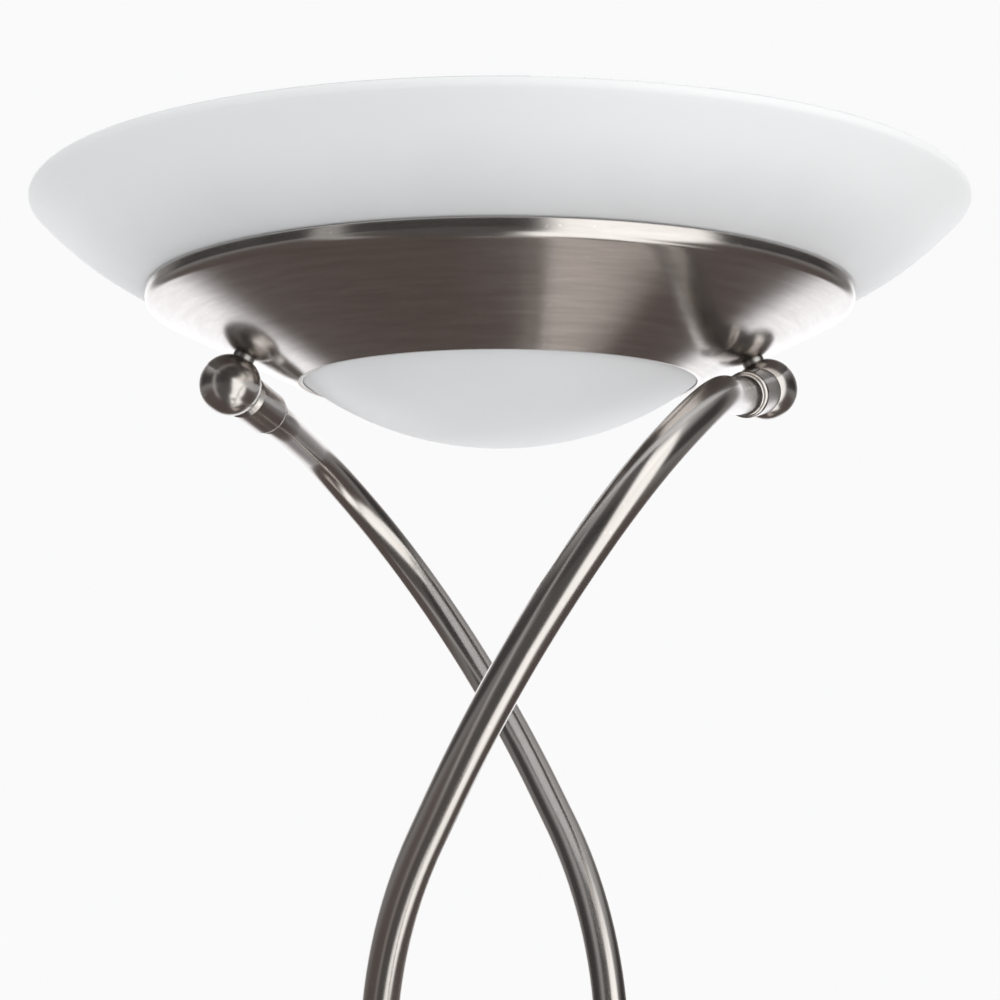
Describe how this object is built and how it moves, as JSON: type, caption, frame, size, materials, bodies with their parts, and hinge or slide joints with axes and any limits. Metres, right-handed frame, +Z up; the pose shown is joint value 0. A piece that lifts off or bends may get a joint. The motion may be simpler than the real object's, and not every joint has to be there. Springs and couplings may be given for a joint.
{
  "type": "torchiere floor lamp with reading light",
  "caption": "Floor lamp: crossing bent stems carry a metal funnel with an opal bowl and lower lens; a reading light swings on a bridge between the poles above a round base.",
  "frame": {"origin": "centre of the pad's underside, on the floor, on the lamp's axis", "axes": "+Z up along the lamp's axis, +X towards the right-hand ball under the funnel, -Y towards the front, where the knobs and the reading light are"},
  "size_m": [0.42, 0.4899, 1.8],
  "materials": {
    "felt": "pressed felt, matt",
    "cast_iron": "as cast, dark primer",
    "rubber": "moulded, matt",
    "zinc_steel": "zinc plated",
    "dimmer_plastic": "moulded, fine grain",
    "slip_plastic": "cut from smooth white sheet",
    "spun_nickel": "spun sheet, brushed round its axis, satin nickel plate",
    "satin_nickel": "turned and drawn metal, satin nickel plate",
    "opal_glass": "blown opal glass, satin etched",
    "ceramic": "pressed and glazed, off-white",
    "quartz_glass": "clear drawn quartz"
  },
  "bodies": {
    "stand": {"base_pad": "felt", "base_weight": "cast_iron", "base_cover": "spun_nickel", "cord_bush": "rubber", "foot_studs": "zinc_steel", "foot_washers": "zinc_steel", "foot_nuts": "zinc_steel", "foot_collars": "satin_nickel", "lower_pole_left": "satin_nickel", "lower_pole_right": "satin_nickel", "pole_couplers": "zinc_steel", "pole_joint_rings": "satin_nickel", "upper_pole_left": "satin_nickel", "upper_pole_right": "satin_nickel", "bridge_couplers": "zinc_steel", "bridge_housing": "satin_nickel", "bridge_back": "satin_nickel", "bridge_back_screws": "zinc_steel", "torch_dimmer": "dimmer_plastic", "reading_dimmer": "dimmer_plastic", "dimmer_nuts": "zinc_steel", "swivel_washer": "slip_plastic", "front_stem": "satin_nickel", "rear_stem": "satin_nickel", "stem_collars": "satin_nickel", "collar_studs": "zinc_steel", "stem_balls": "satin_nickel", "ball_nipples": "zinc_steel", "nipple_washers": "zinc_steel", "nipple_nuts": "zinc_steel", "metal_funnel": "spun_nickel", "lower_lens": "opal_glass", "glass_bowl": "opal_glass", "head_strap": "zinc_steel", "lamp_bracket": "zinc_steel", "bracket_screws": "zinc_steel", "bracket_nuts": "zinc_steel", "lamp_sockets": "ceramic", "linear_lamp": "quartz_glass"},
    "torch_knob": {"torch_knob": "satin_nickel", "torch_knob_shaft": "zinc_steel"},
    "reading_knob": {"reading_knob": "satin_nickel", "reading_knob_shaft": "zinc_steel"},
    "reading_arm": {"swivel_hub": "satin_nickel", "swivel_spring_washer": "zinc_steel", "swivel_nut": "zinc_steel", "reading_arm": "satin_nickel", "arm_fork": "satin_nickel", "pivot_screw": "satin_nickel", "pivot_nut": "satin_nickel"},
    "reading_head": {"head_neck": "satin_nickel", "shade_cap": "satin_nickel", "reading_shade": "spun_nickel", "shade_lens": "opal_glass", "head_socket": "ceramic", "head_bulb": "quartz_glass"}
  },
  "joints": [
    {"name": "torch_knob_turn", "type": "hinge", "parent": "stand", "child": "torch_knob", "pos_m": [-0.031, -0.0178, 1.163], "axis": [0, -1, 0], "range_deg": [0, 270]},
    {"name": "reading_knob_turn", "type": "hinge", "parent": "stand", "child": "reading_knob", "pos_m": [0.031, -0.0178, 1.163], "axis": [0, -1, 0], "range_deg": [0, 270]},
    {"name": "arm_swing", "type": "hinge", "parent": "stand", "child": "reading_arm", "pos_m": [0, -0.032, 1.181], "axis": [0, 0, 1], "range_deg": [-85, 85]},
    {"name": "head_tilt", "type": "hinge", "parent": "reading_arm", "child": "reading_head", "pos_m": [0, -0.204, 1.31], "axis": [-1, 0, 0], "range_deg": [-45, 75]}
  ]
}
